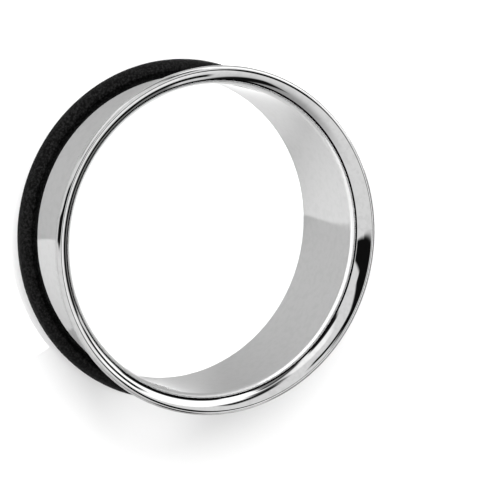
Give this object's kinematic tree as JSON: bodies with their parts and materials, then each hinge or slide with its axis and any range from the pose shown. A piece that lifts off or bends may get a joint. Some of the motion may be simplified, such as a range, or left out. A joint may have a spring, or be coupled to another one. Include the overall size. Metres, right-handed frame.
{
  "type": "single flare flesh tunnel",
  "caption": "Thin polished steel tube with one flared, rounded end and an open bore, held in a stretched earlobe by a black rubber O-ring in a groove near the plain end.",
  "frame": {"origin": "centre of the plain back end, which the tunnel stands on", "axes": "+Z along the tube's axis, from the plain back end towards the flare; X and Y are any two directions across the tube, because every piece is round about Z"},
  "size_m": [0.0272, 0.0272, 0.0097],
  "materials": {
    "polished_steel": "mirror-polished 316L surgical steel with faint hairline polishing marks",
    "black_rubber": "matte moulded black rubber with a faint mould line"
  },
  "bodies": {
    "root": {"tunnel": "polished_steel", "o_ring": "black_rubber"}
  },
  "joints": []
}
